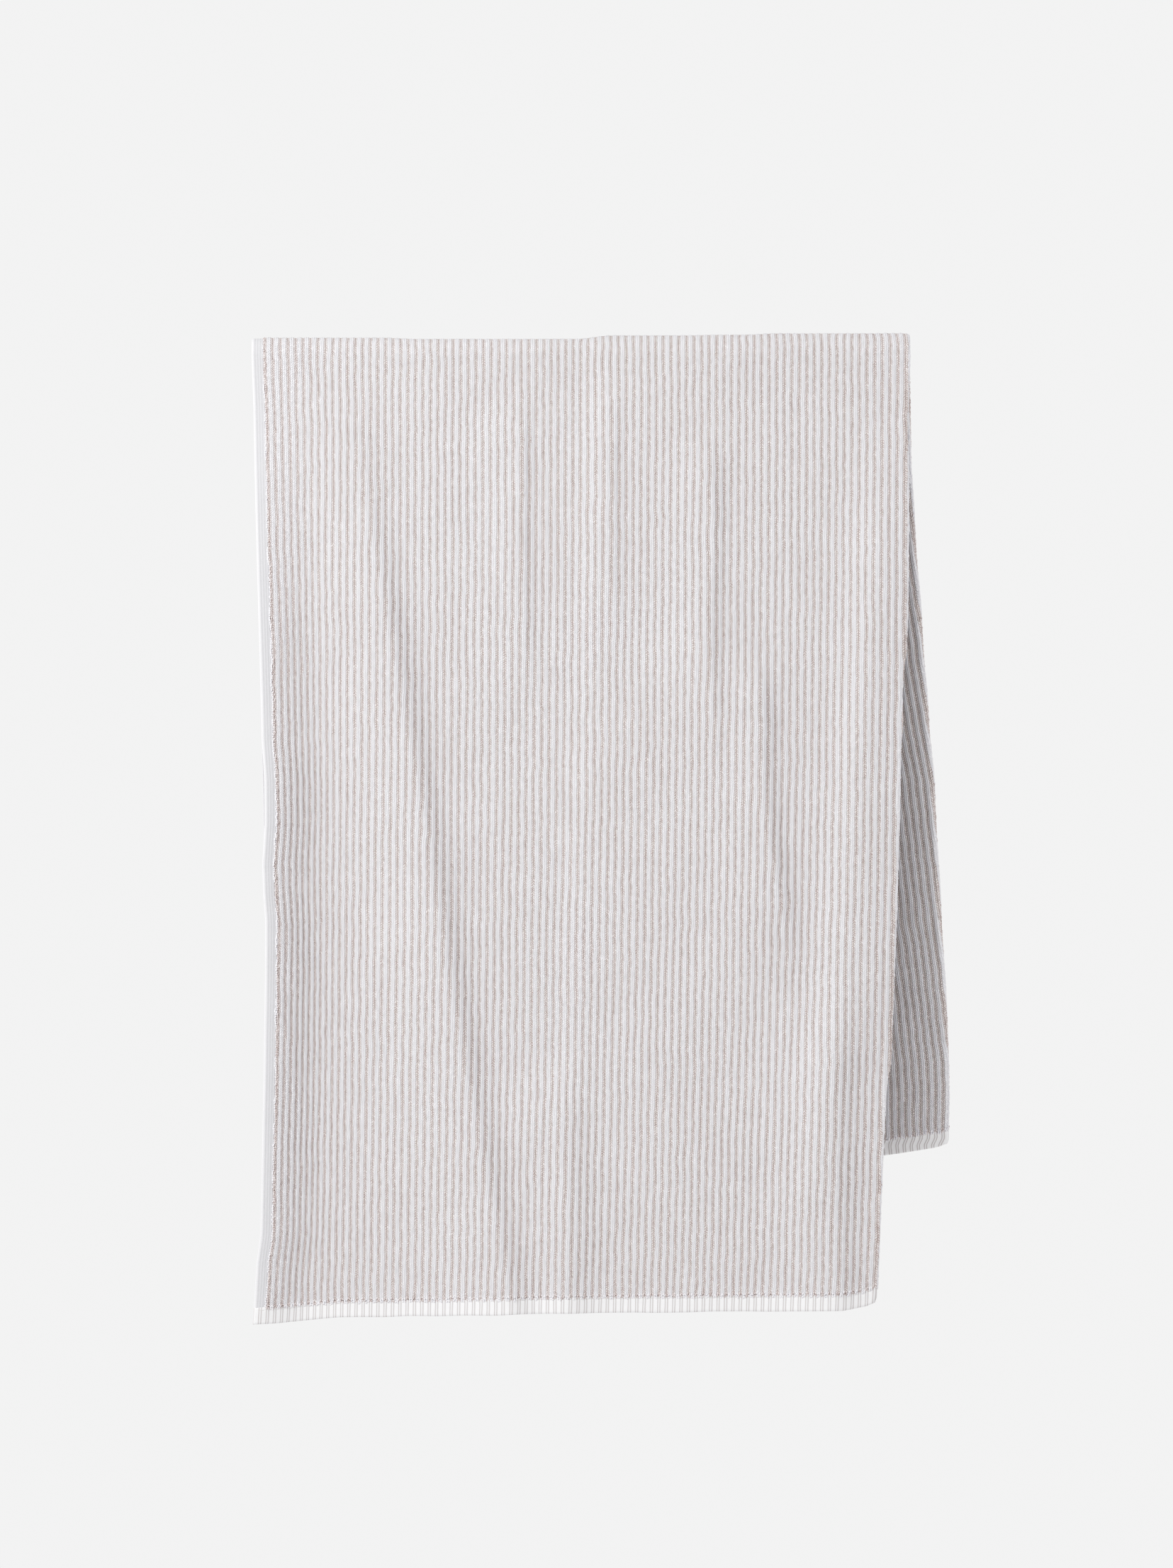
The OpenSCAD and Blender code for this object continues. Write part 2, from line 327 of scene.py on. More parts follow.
def grid_normals(hang, grid):
    along_u, along_v = np.gradient(grid, axis=1), np.gradient(grid, axis=0)
    return unit(np.cross(along_u, along_v)) * -hang.sign


def frames(hang, u, d, phi=0.0):
    """Single places: point, normal, directions across and up the cloth, distance from the rail's middle."""
    u, d, phi = np.broadcast_arrays(np.asarray(u, float), np.asarray(d, float), np.asarray(phi, float))
    step = 0.4
    p, mid = surface(hang, u, d, phi)
    across = unit(surface(hang, u + step, d, phi)[0] - surface(hang, u - step, d, phi)[0])
    high_d, high_phi = np.maximum(d - step, 0), phi + np.where(d < step, step / RAIL_R, 0)
    low_d, low_phi = np.where(phi > 0, 0, d + step), phi * 0.98
    up = unit(surface(hang, u, high_d, high_phi)[0] - surface(hang, u, low_d, low_phi)[0])
    normal = unit(np.cross(across, up)) * -hang.sign
    return p, normal, across, unit(np.cross(normal, across)) * -hang.sign, mid


# ---- Building meshes -----------------------------------------------------------------------------------

def make_object(name, verts, polys, uv, material, normals=None, flat_from=None):
    """A mesh object in metres. uv is a place on the flat cloth for each vertex, in millimetres.
    With normals, one for each vertex, the faces from number flat_from on are shaded flat."""
    mesh = bpy.data.meshes.new(name)
    mesh.from_pydata((np.asarray(verts) * MM).tolist(), [], polys)
    mesh.validate(clean_customdata=False)
    vertex_of = np.empty(len(mesh.loops), int)
    mesh.loops.foreach_get("vertex_index", vertex_of)
    layer = mesh.uv_layers.new(name="cloth")
    layer.data.foreach_set("uv", (np.asarray(uv)[vertex_of] * MM).ravel())
    mesh.polygons.foreach_set("use_smooth", np.ones(len(mesh.polygons), bool))
    mesh.materials.append(material)
    if normals is not None:
        corner_normals = normals[vertex_of]
        for polygon in mesh.polygons[flat_from:]:
            start = polygon.loop_start
            corner_normals[start:start + polygon.loop_total] = polygon.normal
        mesh.normals_split_custom_set(corner_normals.tolist())
    mesh.update()
    obj = bpy.data.objects.new(name, mesh)
    bpy.context.scene.collection.objects.link(obj)
    return obj


def quads(index, flip):
    """Quads over a grid of vertex numbers."""
    a, b, c, d = index[:-1, :-1], index[:-1, 1:], index[1:, 1:], index[1:, :-1]
    order = (d, c, b, a) if flip else (a, b, c, d)
    return np.stack(order, -1).reshape(-1, 4).tolist()


def odd(values):
    """The values, with one more between the first two if their number is even."""
    values = np.asarray(values, float)
    if len(values) % 2 == 0:
        values = np.insert(values, 1, (values[0] + values[1]) / 2)
    return values


def shell(hang, name, widths, rows, face, reverse, material):
    """A closed sheet over a grid of widths and rows. The reverse has half the grid lines.
    rows holds pairs of a depth, as a function of u, and an angle. The last row is past the cut and left out.
    face and reverse give the distance of each side from the middle surface."""
    phi = np.array([angle for _, angle in rows])[:, None] + 0 * widths[None, :]
    d = np.stack([depth(widths) for depth, _ in rows])
    u = np.broadcast_to(widths[None, :], d.shape)
    p, mid = surface(hang, u, d, phi)
    v = cloth_v(hang, u, drop_at(hang, u) - d + mid * phi)
    n = grid_normals(hang, p)
    top = press(p + n * face(u, v, d)[..., None])
    bottom = press(p - n * reverse(u, v, d)[..., None])
    top_n, bottom_n = grid_normals(hang, top)[:-1], -grid_normals(hang, bottom)[:-1][::2, ::2]
    top, bottom, u, v = top[:-1], bottom[:-1][::2, ::2], u[:-1], v[:-1]
    r, c = top.shape[:2]
    fine = np.arange(r * c).reshape(r, c)
    coarse = r * c + np.arange(bottom.shape[0] * bottom.shape[1]).reshape(bottom.shape[:2])
    flip = hang.sign > 0
    polys = quads(fine, flip) + quads(coarse, not flip)
    smooth_count = len(polys)
    # Along the borders, each edge of the reverse meets two edges of the face
    for f_line, c_line in (
        (fine[0], coarse[0]),
        (fine[:, -1], coarse[:, -1]),
        (fine[-1][::-1], coarse[-1][::-1]),
        (fine[::-1, 0], coarse[::-1, 0]),
    ):
        for k in range(len(c_line) - 1):
            ring = [c_line[k], c_line[k + 1], f_line[2 * k + 2], f_line[2 * k + 1], f_line[2 * k]]
            polys.append([int(i) for i in (ring[::-1] if flip else ring)])
    verts = np.concatenate([top.reshape(-1, 3), bottom.reshape(-1, 3)])
    normals = np.concatenate([top_n.reshape(-1, 3), bottom_n.reshape(-1, 3)])
    uv = np.stack([np.concatenate([a.ravel(), a[::2, ::2].ravel()]) for a in (u, v)], -1)
    return make_object(name, verts, polys, uv, material, normals, smooth_count)


def cloth_rows(hang, spacing, near_hem):
    """Rows from the top of the hem to the top of the rail, and one past it. near_hem is the first heights."""
    length = hang.drop - HEM_H
    near_rail = [9.0, 4.5]
    count = int((length - near_hem[-1] - near_rail[0]) / spacing)
    middle = np.linspace(near_hem[-1] + spacing, length - near_rail[0], count)
    tops = np.concatenate([near_hem, middle, [length - near_rail[1], length]])
    arc = [math.radians(9.0) * step for step in range(1, 12)]
    shares = [1 - top / length for top in tops]
    # The rows that stay are an odd number, so that the reverse can have every second one
    if (len(shares) + len(arc) - 1) % 2 == 0:
        shares.insert(8, (shares[7] + shares[8]) / 2)
    rows = [(lambda u, share=share: share * (drop_at(hang, u) - HEM_H), 0.0) for share in shares]
    return rows + [(lambda u: 0.0 * u, angle) for angle in arc]


def edge_round(distance, reach, least):
    """Full height away from a border, falling to the least share of it at the border."""
    t = np.clip(distance / reach, 0, 1)
    return least + (1 - least) * np.sqrt(1 - (1 - t) ** 2)


def rib_wave(u):
    """1 at the middle of a stripe's white part, where the pile stands highest, and -1 half a stripe away."""
    return np.cos(TURN * ((u - SELVEDGE_W) / STRIPE - WHITE_MIDDLE))


def terry_side(hang, seed):
    """The pile's height on one side of the cloth: ribs along the stripes, and small unevenness."""
    def height(u, v, d):
        fluff = 0.025 * lumps(u, v, 2.2, seed=31 + seed) + 0.05 * lumps(u, v, 9.0, seed=41 + seed)
        to_selvedge = np.minimum(u - SELVEDGE_W, CLOTH_W - SELVEDGE_W - u)
        to_hem = np.maximum(drop_at(hang, u) - d - HEM_H, 0)
        border = edge_round(np.minimum(to_selvedge, to_hem), 1.8, 0.55)
        return (TERRY_T / 2 + RIB_H * rib_wave(u) + fluff) * border
    return height


def terry_columns():
    """One column for each pile end, and two at the lengthwise fold."""
    coarse = np.arange(SELVEDGE_W + PILE_END / 2, CLOTH_W - SELVEDGE_W - 0.9, PILE_END)
    fine = np.arange(FINE_FROM, FINE_TO, PILE_END / 2)
    columns = np.concatenate([coarse[coarse < FINE_FROM - 0.5], fine, coarse[coarse > FINE_TO + 0.3]])
    first = [SELVEDGE_W, SELVEDGE_W + 0.3]
    last = [CLOTH_W - SELVEDGE_W - 0.3, CLOTH_W - SELVEDGE_W]
    return odd(np.concatenate([first, columns, last]))


def make_terry(hang, material):
    rows = cloth_rows(hang, spacing=5.5, near_hem=[0.0, 0.4, 1.0, 2.2])
    face, reverse = terry_side(hang, 0), terry_side(hang, 7)
    return shell(hang, f"{hang.name}_terry", terry_columns(), rows, face, reverse, material)


def make_selvedge(hang, name, start, outer, material):
    """A ribbed flat band from u = start, tucked a little under the pile. outer is its free edge."""
    tuck = 0.5
    columns = start + odd(np.linspace(0, SELVEDGE_W + tuck, 27) - (tuck if outer > start else 0))
    columns = np.sort(np.clip(columns, 0, CLOTH_W))

    def height(u, v, d):
        rib = 0.07 * np.cos(TURN * (u - outer) / SELVEDGE_RIB)
        weave = 0.05 * lumps(u, v, 1.6, seed=51) + 0.12 * lumps(u, v, 9, seed=52)
        return (SELVEDGE_T / 2 + rib + weave) * edge_round(np.abs(u - outer), 0.8, 0.25)

    rows = cloth_rows(hang, spacing=4.0, near_hem=[-tuck, 2.0])
    return shell(hang, name, columns, rows, height, height, material)


def hem_section():
    """The hem's outline as height above its lower edge and distance from its middle, in rows of two columns.
    It goes down the face, round the lower edge and up the reverse, which has the turned edge's step."""
    half = HEM_T / 2
    return np.array([
        (13.5, 0.55), (12.9, 0.95), (12.2, half), (11.4, half - 0.1), (10.6, half), (8.4, half + 0.05),
        (6.2, half + 0.03), (4.0, half + 0.05), (2.2, half + 0.06), (1.0, half), (0.35, half - 0.35),
        (0.0, 0.35), (0.0, -0.35), (0.35, 0.35 - half), (1.0, -half), (2.2, -half - 0.06),
        (4.6, -half - 0.03), (7.4, -half - 0.05), (10.4, -half), (11.4, 0.1 - half), (12.3, -half),
        (12.45, -half + 0.75), (13.5, -0.5),
    ])


def hem_columns():
    return np.concatenate([
        [0.0, 0.25, 0.8],
        np.arange(1.8, FINE_FROM - 1, PILE_END),
        np.arange(FINE_FROM - 0.5, FINE_TO + 1, PILE_END / 2),
        np.arange(FINE_TO + 1.5, CLOTH_W - 1.6, PILE_END),
        [CLOTH_W - 0.8, CLOTH_W - 0.25, CLOTH_W],
    ])


def make_hem(hang, material):
    """The end of the cloth folded twice and sewn: a closed flat band, puckered along its stitches."""
    section = hem_section()
    up, off = section[:, :1], section[:, 1:]
    columns = hem_columns()
    u = columns[None, :] + 0 * up
    side = np.minimum(columns, CLOTH_W - columns)[None, :]
    near_stitches = np.exp(-(((up - HEM_H + STITCH_DROP) / 2.2) ** 2))
    pucker = 0.10 * np.cos(TURN * u / STITCH_PITCH) * near_stitches
    edge = 0.35 * lumps(columns, 0 * columns, 22, seed=61)[None, :] * np.exp(-((up / 3.5) ** 2))
    d = drop_at(hang, u) - up + edge
    uneven = 0.08 * lumps(u, up * 2 + off * 9, 5, seed=62)
    off = (off - np.sign(off) * pucker + uneven) * edge_round(side, 0.9, 0.45)
    base, _ = surface(hang, u, d, 0.0)
    # The whole section stands along one normal in each column, from a strip of the middle surface
    guide_up = np.array([13.5, 6.5, 0.0])[:, None] + 0 * columns[None, :]
    guide, _ = surface(hang, columns[None, :] + 0 * guide_up, drop_at(hang, columns)[None, :] - guide_up, 0.0)
    normal = -grid_normals(hang, guide)[1]
    verts = base + normal[None] * off[..., None]
    rows, count = verts.shape[:2]
    index = np.arange(rows * count).reshape(rows, count)
    flip = hang.sign < 0
    polys = quads(np.concatenate([index, index[:1]]), not flip)
    first, last = [int(i) for i in index[:, 0]], [int(i) for i in index[:, -1]]
    polys.append(first if flip else first[::-1])
    polys.append(last[::-1] if flip else last)
    uv = np.stack([u.ravel(), cloth_v(hang, u, drop_at(hang, u) - d).ravel()], -1)
    return make_object(f"{hang.name}_hem", verts.reshape(-1, 3), polys, uv, material)


def bead(rings, sides, profile):
    """Unit shape for loops and stitches: rings along its length, closed by a point at each end."""
    t = np.linspace(-1, 1, rings + 2)[1:-1]
    a = np.arange(sides) * TURN / sides
    body = np.stack([np.repeat(t, sides), np.tile(np.cos(a), rings), np.tile(np.sin(a), rings)], -1)
    body[:, 1:] *= np.repeat(profile(t), sides)[:, None]
    verts = np.concatenate([[[-1, 0, 0]], body, [[1, 0, 0]]])
    polys = []
    for k in range(sides):
        n = (k + 1) % sides
        polys.append([0, 1 + n, 1 + k])
        for r in range(rings - 1):
            b = 1 + r * sides
            polys.append([b + k, b + n, b + sides + n, b + sides + k])
        b = 1 + (rings - 1) * sides
        polys.append([b + k, b + n, 1 + rings * sides])
    return verts, polys


def place_beads(name, shape, spots, material, bow=0.0):
    """One bead at each spot: its length runs along up, its width across, and its height along the normal.
    bow bends its two ends down into the cloth."""
    p, n, across, up, size, uv = spots
    base, polys = shape
    count, each = len(p), len(base)
    length, width, height = size[..., 0, None], size[..., 1, None], size[..., 2, None]
    lift = height * base[None, :, 2] - bow * np.abs(base[None, :, 0]) ** 3
    verts = (
        p[:, None]
        + up[:, None] * (length * base[None, :, 0])[..., None]
        + across[:, None] * (width * base[None, :, 1])[..., None]
        + n[:, None] * lift[..., None]
    )
    if np.mean(np.einsum("ij,ij->i", np.cross(up, across), n)) < 0:
        polys = [poly[::-1] for poly in polys]
    all_polys = [[i + k * each for i in poly] for k in range(count) for poly in polys]
    places = np.repeat(uv, each, axis=0)
    places[:, 0] += (width * base[None, :, 1]).ravel()
    places[:, 1] += (length * base[None, :, 0]).ravel()
    return make_object(name, press(verts).reshape(-1, 3), all_polys, places, material)


# Rows of real loops. Each row gives u, depth, angle, face (1) or reverse (-1), lean and height above the
# cloth's middle. A row is made just before its loops are, so that the random draws keep their order.
# A loop's half length, half width and half height lie between the pairs in LOOP_SIZES.

LOOP_SIZES = ((1.0, 1.7), (0.62, 0.85), (0.62, 0.9))
LOOP_LEAN = 0.4
LOOP_STRAY = 0.3


def hem_loop_rows(hang, rng):
    """Two rows on each side above the hem. reach is how far a row hangs down over it."""
    ends = np.arange(SELVEDGE_W + PILE_END / 2, CLOTH_W - SELVEDGE_W, PILE_END)
    slant = (0.35 * (1 - 2 * (np.arange(len(ends)) % 2)))[:, None]
    rib = rib_wave(ends)
    for face in (1, -1):
        for reach, lift in ((0.9, 0.10), (-0.6, 0.35)):
            over = reach + 0.5 * rib + rng.uniform(-0.5, 0.6, len(ends))
            depth = drop_at(hang, ends) - HEM_H + over
            u = ends + rng.uniform(-LOOP_STRAY, LOOP_STRAY, len(ends))
            yield u, depth, 0.0 * ends, face, slant, TERRY_T / 2 - 0.55 + lift + 0.15 * rib


def selvedge_loop_rows(hang, rng, down):
    """Two rows on the face and one on the reverse along each selvedge, from the hem to the rail's crest."""
    arc = np.arange(0.07, math.pi / 2, LOOP_ROW / UNDER_MID)
    phi = np.concatenate([0 * down, arc])
    for border, side in ((SELVEDGE_W, -1), (CLOTH_W - SELVEDGE_W, 1)):
        drop = drop_at(hang, np.array([border]))[0] - HEM_H
        depth = np.concatenate([down * drop, 0 * arc])
        for face, reach in ((1, -1.0), (1, 0.1), (-1, -0.3)):
            wander = 0.7 * lumps(depth - 20 * phi, 0 * depth, 7, seed=81 + face)
            over = reach + wander + rng.uniform(-LOOP_STRAY, LOOP_STRAY, len(depth))
            lean = rng.uniform(-LOOP_LEAN, LOOP_LEAN, (len(depth), 1))
            yield border + side * over, depth, phi, face, lean, TERRY_T / 2 - 0.60


def fold_loop_rows(hang, rng, down):
    """Four rows round the bend of the lengthwise fold, which are the hang's outline at that side."""
    depth = down * (hang.fold_drop - HEM_H - CORNER_UP)
    table_u = np.linspace(*FOLD_RANGE, 201)
    grid_u, grid_d = table_u[None, :] + 0 * depth[:, None], depth[:, None] + 0 * table_u[None, :]
    table_past = plan(hang, grid_u, grid_d)[2]
    for turn in (0.8, 1.3, 1.8, 2.3):
        u = np.array([np.interp(turn * FOLD_R, past, table_u) for past in table_past])
        u = u + rng.uniform(-LOOP_STRAY, LOOP_STRAY, len(u))
        lean = rng.uniform(-LOOP_LEAN, LOOP_LEAN, (len(depth), 1))
        shifted = depth + rng.uniform(-0.5, 0.5, len(depth))
        yield u, shifted, 0 * depth, 1, lean, TERRY_T / 2 - 0.52 + RIB_H * rib_wave(u)


def make_edge_loops(hang, material):
    """Real loops along the borders of the pile, where it overhangs the hems and the selvedges."""
    rng = np.random.default_rng(71 + hang.sign)
    length = hang.drop - HEM_H
    down = np.arange(LOOP_ROW / 2, length, LOOP_ROW) / length
    spots = []
    for u, d, phi, face, lean, height in itertools.chain(
        hem_loop_rows(hang, rng), selvedge_loop_rows(hang, rng, down), fold_loop_rows(hang, rng, down)
    ):
        p, n, across, up, mid = frames(hang, u, d, phi)
        count = len(p)
        turn = lean + rng.uniform(-0.25, 0.25, count)[:, None]
        p = p + n * face * (height + rng.uniform(-0.2, 0.25, count))[:, None]
        size = [rng.uniform(least, most, count) for least, most in LOOP_SIZES]
        uv = [u, cloth_v(hang, u, drop_at(hang, u) - d + mid * phi)]
        spots.append((
            p,
            n * face,
            unit(across * np.cos(turn) - up * np.sin(turn)),
            unit(up * np.cos(turn) + across * np.sin(turn)),
            np.stack(size, -1),
            np.stack(uv, -1),
        ))
    shape = bead(3, 5, lambda t: np.sqrt(1 - t ** 2) ** 0.8)
    spots = [np.concatenate(part) for part in zip(*spots)]
    return place_beads(f"{hang.name}_edge_loops", shape, spots, material)


def make_stitching(hang, material):
    """The hem's lockstitch: needle thread on the face and bobbin thread on the reverse."""
    u = np.arange(STITCH_PITCH, CLOTH_W - STITCH_PITCH / 2, STITCH_PITCH)
    d = drop_at(hang, u) - HEM_H + STITCH_DROP
    p, n, across, up, _ = frames(hang, u, d)
    above = HEM_T / 2 - 0.02
    spots = (
        np.concatenate([p + n * above, p - n * above]),
        np.concatenate([n, -n]),
        np.tile(up, (2, 1)),
        np.tile(across, (2, 1)),
        np.tile([STITCH_LEN / 2, THREAD_R, THREAD_R], (2 * len(u), 1)),
        np.tile(np.stack([u, 0 * u], -1), (2, 1)),
    )
    shape = bead(9, 8, lambda t: (1 - np.abs(t) ** 6) ** 0.5)
    return place_beads(f"{hang.name}_stitching", shape, spots, material, bow=0.22)


# ---- Materials -----------------------------------------------------------------------------------------

class Value:
    """A number in a shader tree, with the usual arithmetic."""

    def __init__(self, tree, socket):
        self.tree, self.socket = tree, socket

    def math(self, operation, *others):
        node = self.tree.nodes.new("ShaderNodeMath")
        node.operation = operation
        for i, value in enumerate((self, *others)):
            if isinstance(value, Value):
                self.tree.links.new(value.socket, node.inputs[i])
            else:
                node.inputs[i].default_value = value
        return Value(self.tree, node.outputs[0])

    def __add__(self, other):
        return self.math("ADD", other)

    def __sub__(self, other):
        return self.math("SUBTRACT", other)

    def __mul__(self, other):
        return self.math("MULTIPLY", other)

    def floor(self):
        return self.math("FLOOR")

    def fract(self):
        return self.math("FRACT")

    def abs(self):
        return self.math("ABSOLUTE")

    def cos(self):
        return self.math("COSINE")

    def less(self, other):
        return self.math("LESS_THAN", other)

    def wave(self):
        """A cosine of this value, from 0 to 1."""
        return self.cos() * 0.5 + 0.5

    def ramp(self, low, high):
        """0 at low and 1 at high, smoothly between."""
        node = self.tree.nodes.new("ShaderNodeMapRange")
        node.interpolation_type = "SMOOTHSTEP"
        self.tree.links.new(self.socket, node.inputs["Value"])
        node.inputs["From Min"].default_value = low
        node.inputs["From Max"].default_value = high
        return Value(self.tree, node.outputs["Result"])


class Shader:
    """A material with one Principled shader, and the cloth's own coordinates in millimetres."""

    def __init__(self, name, sheen):
        self.material = bpy.data.materials.new(name)
        self.material.use_nodes = True
        self.tree = self.material.node_tree
        self.base = self.tree.nodes["Principled BSDF"]
        self.base.inputs["Specular IOR Level"].default_value = 0.18
        self.base.inputs["Sheen Weight"].default_value = sheen
        self.base.inputs["Sheen Roughness"].default_value = 0.45
        uv = self.tree.nodes.new("ShaderNodeUVMap")
        uv.uv_map = "cloth"
        parts = self.tree.nodes.new("ShaderNodeSeparateXYZ")
        self.tree.links.new(uv.outputs["UV"], parts.inputs[0])
        self.u = Value(self.tree, parts.outputs[0]) * 1000.0
        self.v = Value(self.tree, parts.outputs[1]) * 1000.0

    def vector(self, x, y):
        node = self.tree.nodes.new("ShaderNodeCombineXYZ")
        self.tree.links.new(x.socket, node.inputs[0])
        self.tree.links.new(y.socket, node.inputs[1])
        return node.outputs[0]

    def noise(self, wide, high, detail=2.0, shift=0.0):
        """Noise about zero, from about -0.5 to 0.5, with cells of that size in millimetres."""
        node = self.tree.nodes.new("ShaderNodeTexNoise")
        node.noise_dimensions = "2D"
        node.inputs["Scale"].default_value = 1.0
        node.inputs["Detail"].default_value = detail
        place = self.vector(self.u * (1 / wide) + shift, self.v * (1 / high) + shift)
        self.tree.links.new(place, node.inputs["Vector"])
        return Value(self.tree, node.outputs["Fac"]) - 0.5

    def chance(self, x, y):
        """A random number from 0 to 1 for each pair of whole numbers."""
        node = self.tree.nodes.new("ShaderNodeTexWhiteNoise")
        node.noise_dimensions = "2D"
        self.tree.links.new(self.vector(x, y), node.inputs["Vector"])
        return Value(self.tree, node.outputs["Value"])

    def colour(self, low, high, share):
        """A mix of two colours, or of two earlier mixes."""
        node = self.tree.nodes.new("ShaderNodeMix")
        node.data_type = "RGBA"
        self.tree.links.new(share.socket, node.inputs["Factor"])
        self.fill(node, low, high)
        return node.outputs[2]

    def tint(self, colour, by):
        """One colour multiplied by another."""
        node = self.tree.nodes.new("ShaderNodeMix")
        node.data_type = "RGBA"
        node.blend_type = "MULTIPLY"
        node.inputs["Factor"].default_value = 1.0
        self.fill(node, colour, by)
        return node.outputs[2]

    def fill(self, node, first, second):
        """Sets or links the two colour inputs of a mix node."""
        for key, value in ((6, first), (7, second)):
            if isinstance(value, tuple):
                node.inputs[key].default_value = (*value, 1)
            else:
                self.tree.links.new(value, node.inputs[key])

    def finish(self, colour, height, depth, rough):
        """Links the colour, the roughness, and a relief of that depth in millimetres."""
        bump = self.tree.nodes.new("ShaderNodeBump")
        bump.inputs["Distance"].default_value = depth * MM
        self.tree.links.new(height.socket, bump.inputs["Height"])
        self.tree.links.new(bump.outputs["Normal"], self.base.inputs["Normal"])
        self.tree.links.new(colour, self.base.inputs["Base Color"])
        self.tree.links.new(rough.socket, self.base.inputs["Roughness"])
        return self.material


# The low white and the low grey are painted shade in the gaps between loops; the low grey is also the melange
# yarn's dark fleck.
WHITE_HIGH = (0.938, 0.928, 0.952)
WHITE_GAP_SHADE = (0.800, 0.790, 0.820)
GREY_HIGH = (0.905, 0.862, 0.854)
GREY_FLECK_AND_GAP_SHADE = (0.450, 0.378, 0.364)
CLOUD = (0.982, 0.980, 0.979)
CLEAR = (1.0, 1.0, 1.0)

HEM_LOW = (0.830, 0.825, 0.830)
HEM_HIGH = (0.920, 0.915, 0.920)
HEM_BETWEEN = (0.700, 0.685, 0.690)
HEM_LINE = (0.520, 0.480, 0.475)
HEM_LINE_HALF = 0.95
HEM_TWILL = 0.95
HEM_PICK = 0.62

SELVEDGE_LOW = (0.640, 0.636, 0.652)
SELVEDGE_HIGH = (0.705, 0.700, 0.718)
SELVEDGE_RIM = (0.800, 0.795, 0.810)
SELVEDGE_PICK = 0.9

THREAD_LOW = (0.740, 0.730, 0.710)
THREAD_HIGH = (0.900, 0.890, 0.870)
THREAD_TWIST = 0.45

FLOOR_LOW = (0.80, 0.80, 0.80, 1)
FLOOR_HIGH = (0.83, 0.83, 0.83, 1)


def terry_material(name, depth, crowns):
    """Looped pile: two columns of loops lean one way and the other, in white and in grey melange yarn.
    depth is the height of the relief, and crowns is how much of each loop's rounding it draws, both in the
    relief and in the painted shade between loops."""
    s = Shader(name, sheen=0.25)
    # Columns of loops, which sway a little
    sway = s.noise(26, 18, 1.0) * 1.5 + s.noise(60, 80, 1.0, 3.0) * 1.4
    ends = (s.u + sway - SELVEDGE_W) * (1 / PILE_END)
    index = ends.floor()
    across = ends.fract() - 0.5
    # Rows of loops, half a row apart in columns side by side, and leaning opposite ways
    odd_end = (index * 0.5).fract() * 2.0
    lean = (odd_end * 2.0 - 1.0) * across * 0.9
    rows = s.v * (1 / LOOP_ROW) + odd_end * 0.5 + lean + s.noise(3, 5, 1.0, 8.0) * 1.4
    loop = rows.floor()
    along = rows.fract() - 0.5
    # Each loop is round, and differs a little from the next
    chance_1 = s.chance(index, loop)
    chance_2 = s.chance(loop + 17.3, index)
    crown = (across * across * -3.4 + 1.0) * ((along * TURN).cos() * 0.34 + 0.66)
    fibre = s.noise(0.5, 0.8, 2.0, 5.0)
    height = crown * (chance_1 * 0.16 + 0.87) * crowns + fibre * 0.16 + (1 - crowns) * 0.34
    # A loop is painted palest at its crown and darker towards the gaps between loops, which is painted shade;
    # each loop's own random tone and the grey melange yarn's dark flecks are real colour. Stripes have a
    # slightly ragged border.
    white_tone_and_gap_shade = (height + (chance_1 - 0.5) * 0.18).ramp(0.05, 0.9)
    grey_fleck_and_gap_shade = (height * 0.9 + chance_2 * 0.2 + 0.08).ramp(0.15, 0.95)
    stripe = ((ends + (chance_2 - 0.5) * 0.15) * (PILE_END / STRIPE)).fract()
    striped = s.colour(
        s.colour(WHITE_GAP_SHADE, WHITE_HIGH, white_tone_and_gap_shade),
        s.colour(GREY_FLECK_AND_GAP_SHADE, GREY_HIGH, grey_fleck_and_gap_shade),
        stripe.less(GREY_SHARE),
    )
    cloud = (s.noise(55, 70, 3.0, 2.0) * 2.0 + 0.5).ramp(0.0, 1.0)
    colour = s.tint(striped, s.colour(CLOUD, CLEAR, cloud))
    return s.finish(colour, height, depth, height * -0.08 + 0.98)


def hem_material():
    """Twill hem: each grey stripe runs on as two fine dotted lines."""
    s = Shader("hem_weave", sheen=0.15)
    u = s.u + s.noise(9, 14) * 0.5
    twill = ((u - s.v) * (TURN / HEM_TWILL)).wave()
    pick = (s.v * (TURN / HEM_PICK)).wave()
    stripe = ((u - SELVEDGE_W) * (1 / STRIPE)).fract()
    apart = ((stripe - GREY_SHARE / 2).abs() * STRIPE - HEM_LINE_HALF).abs()
    line = (apart * -1.0).ramp(-0.62, -0.26)
    between = (apart * -1.0).ramp(-1.15, -0.45)
    dots = (s.v * (TURN / HEM_TWILL) + s.u * 3.3).cos() * 0.22 + 0.78
    weave = s.colour(HEM_LOW, HEM_HIGH, twill * 0.6 + pick * 0.15 + s.noise(1, 1) * 0.3)
    shaded = s.colour(weave, HEM_BETWEEN, between * 0.35)
    colour = s.colour(shaded, HEM_LINE, line * dots * 0.75)
    height = twill * 0.6 + pick * 0.25 + s.noise(0.6, 0.6) * 0.3
    return s.finish(colour, height, 0.11, twill * -0.06 + 0.9)


